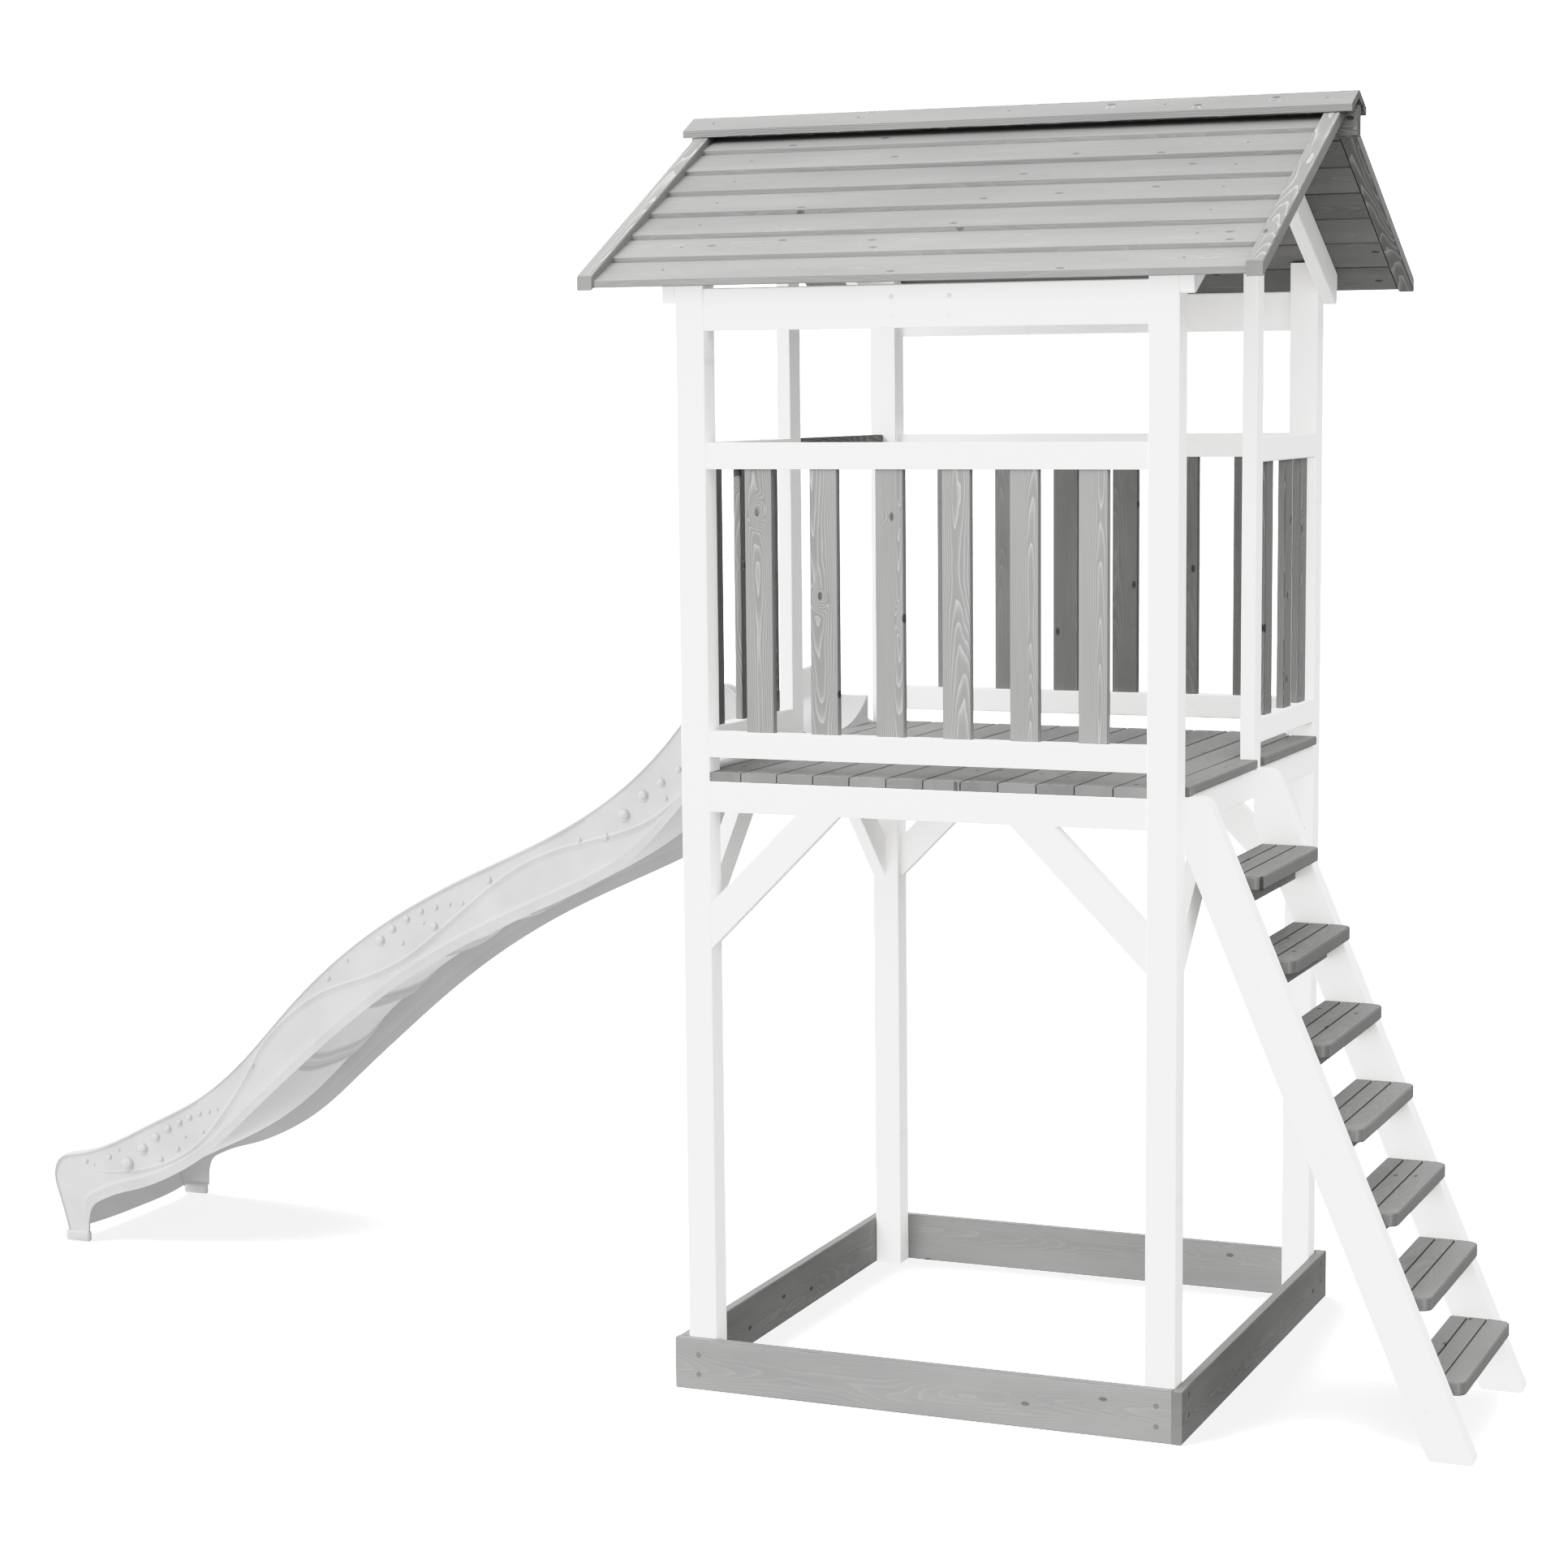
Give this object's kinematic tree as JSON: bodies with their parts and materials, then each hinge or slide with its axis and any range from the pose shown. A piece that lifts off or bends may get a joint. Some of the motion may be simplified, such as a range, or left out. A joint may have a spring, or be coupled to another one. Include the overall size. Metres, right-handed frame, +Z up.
{
  "type": "wooden play tower with slide",
  "caption": "Garden play tower: raised timber deck with slatted railings under a gable roof, sandpit frame below, ladder on one side and a wavy plastic slide on the other.",
  "frame": {"origin": "on the ground at the centre of the footprint, between the slide's exit and the ladder's foot", "axes": "+X from the slide towards the ladder, +Y from the front railing to the back, +Z up"},
  "size_m": [3.2864, 1.16, 2.419],
  "materials": {
    "white_wood": "white stain, satin, grain showing faintly",
    "grey_wood": "grey translucent stain, grain and knots showing",
    "slide_plastic": "white moulded plastic, satin gloss",
    "cap_plastic": "white moulded cap",
    "steel": "plated countersunk screws"
  },
  "bodies": {
    "root": {"sandpit_board_front": "grey_wood", "sandpit_board_back": "grey_wood", "sandpit_board_left": "grey_wood", "sandpit_board_right": "grey_wood", "sandpit_screws": "steel", "post_front_left": "white_wood", "post_front_right": "white_wood", "post_back_left": "white_wood", "post_back_right": "white_wood", "door_post_left": "white_wood", "door_post_right": "white_wood", "deck_beam_front": "white_wood", "lower_rail_front": "white_wood", "handrail_front": "white_wood", "deck_beam_back": "white_wood", "lower_rail_back": "white_wood", "handrail_back": "white_wood", "deck_beam_left": "white_wood", "lower_rail_left": "white_wood", "handrail_left": "white_wood", "deck_beam_right": "white_wood", "lower_rail_right": "white_wood", "handrail_right": "white_wood", "top_beam_front": "white_wood", "top_beam_back": "white_wood", "deck_joist": "white_wood", "slide_door_bar": "grey_wood", "slats_front": "grey_wood", "slats_back": "grey_wood", "slats_left": "grey_wood", "slats_right": "grey_wood", "deck_boards": "grey_wood", "knee_brace_front_left": "white_wood", "knee_brace_left_front": "white_wood", "rafter_left_front": "white_wood", "verge_batten_left_front": "grey_wood", "knee_brace_back_left": "white_wood", "knee_brace_left_back": "white_wood", "rafter_left_back": "white_wood", "verge_batten_left_back": "grey_wood", "knee_brace_front_right": "white_wood", "knee_brace_right_front": "white_wood", "rafter_right_front": "white_wood", "verge_batten_right_front": "grey_wood", "knee_brace_back_right": "white_wood", "knee_brace_right_back": "white_wood", "rafter_right_back": "white_wood", "verge_batten_right_back": "grey_wood", "ridge_board": "grey_wood", "roof_boards_front": "grey_wood", "ridge_cap_front": "grey_wood", "ladder_stringer_front": "white_wood", "roof_boards_back": "grey_wood", "ridge_cap_back": "grey_wood", "ladder_stringer_back": "white_wood", "ladder_treads": "grey_wood", "ladder_battens": "grey_wood", "frame_screws": "steel", "slide": "slide_plastic", "brace_bolt_caps": "cap_plastic"}
  },
  "joints": []
}
